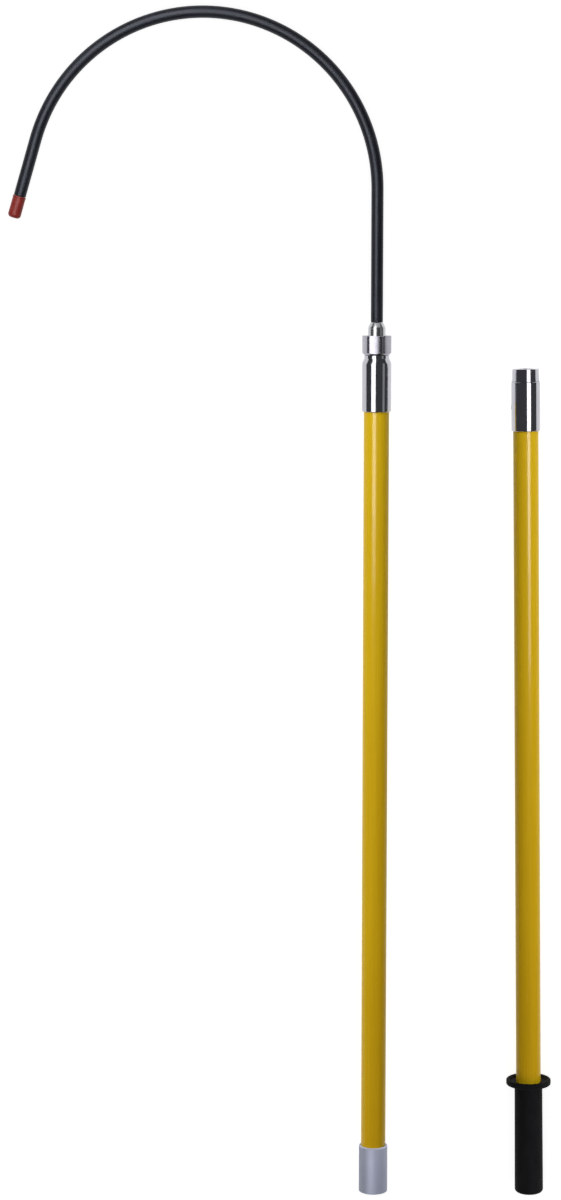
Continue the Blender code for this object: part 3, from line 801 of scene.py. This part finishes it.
def add_tip_cap(section, mouth):
    """The red cap on the hook's tip, with a bead round its mouth."""
    tip = mouth + CAP_LENGTH
    radius = CAP_DIAMETER / 2
    bore = BAR_DIAMETER / 2 + FIT
    floor = tip - CAP_END_WALL
    bead_foot = mouth + CAP_BEAD_WIDTH
    corners = [
        (0, tip),
        (radius - CAP_BEAD / 2, tip, CAP_ROUNDING),
        (radius - CAP_BEAD, bead_foot + CAP_BEAD, CAP_BEAD),
        (radius, bead_foot, CAP_BEAD),
        (radius, mouth, CAP_BEAD),
        (bore, mouth, FIT),
        (bore, floor),
        (0, floor),
    ]
    mesh = turned("tip_cap_dipped", corners, sides=SMALL_SIDES, bend=on_hook)
    add_piece("tip_cap_dipped", mesh, section, "hook_head", "red_cap", "tip_cap")


def add_socket(section):
    """Aluminium socket on the foot of the hook section, and the threaded stud inside it."""
    low, high = reach("socket_sleeve", section)
    stud_low, stud_high = reach("socket_stud", section)
    radius = high.x
    tube_bore = reach("upper_tube", section)[1].x + FIT
    bore = SPIGOT_DIAMETER / 2 + FIT
    step = reach("socket_plug", section)[0].z
    corners = [
        (tube_bore, high.z, FIT),
        (radius, high.z, SOCKET_LIP_ROUNDING),
        (radius, low.z, SLEEVE_EDGE),
        (bore + SPIGOT_FLARE, low.z, FIT),
        (bore, low.z + SPIGOT_FLARE_LENGTH),
        (bore, step),
        (tube_bore, step),
    ]
    mesh = turned("socket_sleeve_turned", corners, closed=True)
    mesh = carved(mesh, "DIFFERENCE", pin_hole("socket_pin", section))
    add_piece("socket_sleeve_turned", mesh, section, "hook_section", "aluminium", "socket_sleeve")

    stud = STUD_DIAMETER / 2
    base = stud_high.x
    base_foot = stud_low.z + STUD_LENGTH
    base_top = base_foot + STUD_BASE_THICKNESS
    stem = STUD_STEM_DIAMETER / 2
    nose = stud_low.z
    thread_foot = nose + STUD_CHAMFER
    corners = [
        (0, stud_high.z),
        (stem, stud_high.z, SLEEVE_EDGE),
        (stem, base_top),
        (base, base_top, SLEEVE_EDGE),
        (base, base_foot, SLEEVE_EDGE),
        *threaded(stud, base_foot, thread_foot),
        (stud - STUD_CHAMFER, nose),
        (0, nose),
    ]
    mesh = turned("socket_stud_threaded", corners, thread=(stud, thread_foot, base_foot, False))
    add_piece("socket_stud_threaded", mesh, section, "hook_section", "steel", "socket_stud")


def add_spigot_ferrule(section):
    """Chromed ferrule of the handle section: a skirt on the tube and a spigot with a threaded bore."""
    low, high = reach("spigot_ferrule", section)
    radius = high.x
    top = high.z
    foot = low.z
    shoulder = top - SPIGOT_LENGTH
    tube_bore = reach("lower_tube", section)[1].x + FIT
    floor = foot + SLEEVE_GRIP
    bore = STUD_DIAMETER / 2 + FIT
    bore_floor = top - STUD_BORE_DEPTH
    thread_top = top - STUD_BORE_CHAMFER
    thread_foot = bore_floor + THREAD_PITCH
    rim = SPIGOT_TOP_DIAMETER / 2
    corners = [
        (0, bore_floor),
        (bore, bore_floor),
        *threaded(bore, thread_foot, thread_top),
        (bore + STUD_BORE_CHAMFER, top),
        (rim, top, SPIGOT_CHAMFER),
        (SPIGOT_DIAMETER / 2, shoulder + SPIGOT_FLARE_LENGTH, SPIGOT_FLARE_LENGTH),
        (SPIGOT_DIAMETER / 2 + SPIGOT_FLARE, shoulder, FIT),
        (radius - SPIGOT_SHOULDER_CHAMFER, shoulder, FIT),
        (radius, shoulder - SPIGOT_SHOULDER_CHAMFER, FIT),
        (radius, foot, SLEEVE_EDGE),
        (tube_bore, foot, FIT),
        (tube_bore, floor),
        (0, floor),
    ]
    mesh = turned("spigot_ferrule_plated", corners, thread=(bore, thread_foot, thread_top, True))
    mesh = carved(mesh, "DIFFERENCE", pin_hole("spigot_ferrule_pin", section))
    add_piece("spigot_ferrule_plated", mesh, section, "handle_section", "chrome", "spigot_ferrule")


def add_grip(section):
    """Rubber grip with a closed, rounded end, pushed over the foot of the tube."""
    low, high = reach("grip", section)
    bore = reach("lower_tube", section)[1].x + FIT
    corners = [
        (0, GRIP_END_WALL),
        (bore, GRIP_END_WALL),
        (bore, high.z, FIT),
        (GRIP_TOP_DIAMETER / 2, high.z, SLEEVE_EDGE),
        (high.x, low.z, GRIP_ROUNDING),
        (0, low.z),
    ]
    mesh = turned("grip_moulded", corners)
    add_piece("grip_moulded", mesh, section, "handle_section", "black_rubber", "grip")


def add_hand_guard(section):
    """Rubber disc above the grip: a thick, rounded rim and a dished face that closes on the tube."""
    low, high = reach("hand_guard", section)
    radius = high.x
    rim = radius - GUARD_RIM_WIDTH
    bore = reach("lower_tube", section)[1].x + FIT
    top = high.z
    face = top - GUARD_DISH
    corners = [
        (bore, face, FIT),
        (rim - GUARD_DISH_SLOPE, face, GUARD_DISH_ROUNDING),
        (rim, top, GUARD_DISH_ROUNDING),
        (radius, top, GUARD_RIM_ROUNDING),
        (radius, low.z, GUARD_RIM_ROUNDING),
        (bore, low.z, FIT),
    ]
    mesh = turned("hand_guard_moulded", corners, closed=True)
    add_piece("hand_guard_moulded", mesh, section, "handle_section", "black_rubber", "hand_guard")


def finish_inner_nodes():
    """Gives a finish to each solid that no piece replaces. They all lie inside others."""
    for subpart in frame["record"]["subparts"]:
        node = frame["nodes"][subpart["node"]]
        if not node.hide_render:
            node.data.materials.clear()
            node.data.materials.append(finishes[subpart["material_slot"]])


def add_floor():
    """A pale floor, and a white surround far behind it that only the camera sees."""
    half = FLOOR_SIZE / 2
    shape = bmesh.new()
    bmesh.ops.create_grid(shape, x_segments=1, y_segments=1, size=half)
    mesh = bpy.data.meshes.new("floor")
    shape.to_mesh(mesh)
    shape.free()
    mesh.materials.append(glowing("pale_floor", FLOOR_GREY, FLOOR_GLOW))
    floor = loose(mesh)
    floor.location.z = -FLOOR_DROP

    dome = [(0, half)]
    for step in range(1, SURROUND_STEPS + 1):
        rise = math.pi / 2 * (1 - step / SURROUND_STEPS)
        dome.append((half * math.cos(rise), half * math.sin(rise)))
    surround = loose(turned("surround", dome))
    surround.data.materials.append(glowing("white_surround", SURROUND_GREY, SURROUND_GLOW))
    surround.visible_diffuse = False
    surround.visible_glossy = False
    surround.visible_shadow = False
    return floor


def glowing(name, grey, strength):
    """A plain grey finish that gives off white light."""
    finish = Finish(
        name,
        Base_Color=tone(grey, grey, grey),
        Roughness=STAGE_ROUGHNESS,
        Emission_Color=tone(*WHITE),
        Emission_Strength=strength,
    )
    return finish.material


def add_camera(plane):
    """Looks down on the layout, tipped towards its foot, from the photograph's distance."""
    data = bpy.data.cameras.new("camera")
    data.lens = CAMERA_LENS_MM
    data.clip_end = FLOOR_SIZE
    camera = bpy.data.objects.new("camera", data)
    bpy.context.scene.collection.objects.link(camera)
    aim = Vector((AIM_ACROSS, AIM_ALONG, plane))
    away = Vector((0, math.sin(CAMERA_TIP), math.cos(CAMERA_TIP)))
    camera.location = aim + CAMERA_DISTANCE * away
    camera.rotation_euler = (-CAMERA_TIP, 0, 0)
    bpy.context.scene.camera = camera


def add_sky():
    """A faint, even light from all round."""
    world = bpy.data.worlds.new("studio")
    world.use_nodes = True
    background = world.node_tree.nodes["Background"]
    background.inputs["Color"].default_value = tone(*SKY)
    background.inputs["Strength"].default_value = SKY_STRENGTH
    bpy.context.scene.world = world


def pieces(*names):
    """The pieces with these names."""
    return [bpy.data.objects[name] for name in names]


def riding(*bodies):
    """Every object that rides on one of these bodies."""
    return [obj for obj in bpy.data.objects if obj.get("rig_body") in bodies]


def add_light(name, kind, lit, place, target, size, strength, colour=WHITE):
    """A soft panel that faces a target and lights only some objects.

    A lamp lights what is matt, and a card is only mirrored in what is glossy.
    """
    data = bpy.data.lights.new(name, "AREA")
    data.shape = "RECTANGLE"
    data.size, data.size_y = size
    data.energy = strength * size[0] * size[1]
    data.color = colour
    light = bpy.data.objects.new(name, data)
    bpy.context.scene.collection.objects.link(light)
    light.location = place
    toward = Vector(target) - Vector(place)
    light.rotation_euler = toward.to_track_quat("-Z", "Y").to_euler()
    light.visible_camera = False
    light.visible_glossy = kind == "card"
    light.visible_diffuse = kind == "lamp"
    receivers = bpy.data.collections.new(name + "_receivers")
    for obj in lit:
        receivers.objects.link(obj)
    light.light_linking.receiver_collection = receivers


def add_card_above(name, lit, over, size, strength):
    """A card that hangs flat over a place on the floor."""
    add_light(name, "card", lit, (*over, PANEL_HEIGHT), (*over, 0), size, strength)


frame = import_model()

hook = hook_frame()
handle = handle_frame()
add_camera(hook.translation.z)
finishes = {
    "yellow_fibreglass": yellow_fibreglass(),
    "foam": cell_foam(),
    "grey_plastic": grey_plastic(),
    "chrome": chrome(),
    "collar_chrome": satin_chrome("satin_chrome", tone(0.54, 0.55, 0.56), tone(0.48, 0.49, 0.50)),
    "nut_chrome": satin_chrome("dull_chrome", tone(0.40, 0.39, 0.44), tone(0.34, 0.33, 0.38)),
    "steel": plain_steel(),
    "aluminium": satin_aluminium(),
    "black_sleeve": black_sleeve(),
    "red_cap": red_cap(),
    "black_rubber": black_rubber(),
    "brass": brass(),
}

collar_top = reach("hook_fitting", hook)[1].z
bend_start = collar_top + SHANK_LENGTH
cap_mouth = bend_start + BEND_RADIUS * BEND_ANGLE + LEG_LENGTH - CAP_LENGTH

add_tube("upper_tube", hook, "hook_section")
add_tube("lower_tube", handle, "handle_section")
add_head_ferrule(hook)
add_hook_fitting(hook)
add_union_nut(hook)
add_hook_sleeve(hook, collar_top, cap_mouth)
add_tip_cap(hook, cap_mouth)
add_socket(hook)
add_spigot_ferrule(handle)
add_grip(handle)
add_hand_guard(handle)
add_pin("head_ferrule_pin", hook, "hook_section")
add_pin("socket_pin", hook, "hook_section")
add_pin("spigot_ferrule_pin", handle, "handle_section")
finish_inner_nodes()
floor = add_floor()
add_sky()
bpy.context.scene.view_settings.view_transform = "Standard"

hook_tube = pieces("upper_tube_skin")
handle_tube = pieces("lower_tube_skin")
hook_arm = pieces("hook_sleeve_skin", "tip_cap_dipped")
collar = pieces("hook_fitting_plated")
hook_chrome = collar + pieces("head_ferrule_plated", "head_ferrule_pin_dowel", "union_nut_plated")
handle_chrome = pieces("spigot_ferrule_plated", "spigot_ferrule_pin_dowel")
socket = pieces("socket_sleeve_turned", "socket_pin_dowel", "socket_stud_threaded")
rubber = pieces("grip_moulded", "hand_guard_moulded")
hook_side = [obj for obj in riding("hook_section", "hook_head", "union_nut") if obj not in socket]
handle_side = [obj for obj in riding("handle_section") if obj not in rubber]

# Lamps for what is matt
add_light(
    "hook_lamp", "lamp", hook_side,
    place=(-0.46, 0.8, PANEL_HEIGHT), target=(0.05, 0.15, 0), size=SIDE_LAMP_SIZE, strength=14,
)
add_light(
    "handle_lamp", "lamp", handle_side,
    place=(0.88, 0.8, PANEL_HEIGHT), target=(0.35, 0.15, 0), size=SIDE_LAMP_SIZE, strength=13,
)
add_light(
    "rubber_lamp", "lamp", rubber,
    place=(0.9, -0.95, PANEL_HEIGHT), target=(0.32, -0.7, 0), size=(1.0, 1.0), strength=13,
)
add_light(
    "hook_foot_lamp", "lamp", hook_tube,
    place=(-0.3, -1.1, FOOT_LAMP_HEIGHT), target=(0.1, -0.6, 0), size=FOOT_LAMP_SIZE,
    strength=3.6, colour=WARM,
)
add_light(
    "handle_foot_lamp", "lamp", handle_tube,
    place=(0.9, -1.1, FOOT_LAMP_HEIGHT), target=(0.35, -0.6, 0), size=FOOT_LAMP_SIZE,
    strength=3.9, colour=WARM,
)
add_light(
    "socket_lamp", "lamp", socket,
    place=(0.6, -0.9, 1.7), target=(0.1, -0.7, 0), size=FOOT_LAMP_SIZE,
    strength=10.5, colour=COOL,
)
add_light(
    "socket_lip_lamp", "lamp", socket,
    place=(0.1, 0.85, 0.5), target=(0.1, -0.65, 0.02), size=(1.0, 0.6), strength=100,
)
add_light(
    "floor_lamp", "lamp", [floor],
    place=(0, 0, 3.0), target=(0, 0, 0), size=(4.0, 4.0), strength=1.4,
)

# Cards for what is glossy
add_card_above("hook_arm_card", hook_arm, ARM_CARD_PLACE, ARM_CARD_SIZE, strength=24)
add_card_above("hook_tube_card", hook_tube, ARM_CARD_PLACE, ARM_CARD_SIZE, strength=63)
add_card_above("hook_tube_edge", hook_tube, over=(-0.5, 0.03), size=(0.92, 0.16), strength=29)
add_card_above("hook_chrome_card", hook_chrome, over=(-0.69, 0.95), size=(1.04, 2.5), strength=9.5)
add_card_above("handle_tube_card", handle_tube, over=(0.945, 1.025), size=(0.73, 1.95), strength=78)
add_card_above("handle_tube_edge", handle_tube, over=(0.945, -0.08), size=(0.73, 0.26), strength=38)
add_card_above("handle_chrome_card", handle_chrome, over=(0.933, 0.9), size=(0.88, 2.2), strength=8.5)
add_card_above("socket_card", socket, over=(-0.57, -1.2), size=(1.12, 1.8), strength=10)
add_light(
    "hook_chrome_strip", "card", hook_chrome,
    place=(1.416, 0.3, 0.943), target=(0.116, 0.3, 0.02), size=(1.6, 0.48), strength=0.9,
)
add_light(
    "collar_card", "card", collar,
    place=(0.1, 2.6, 1.2), target=(0.1, 0.36, 0.02), size=(4.0, 2.4), strength=1.6,
)
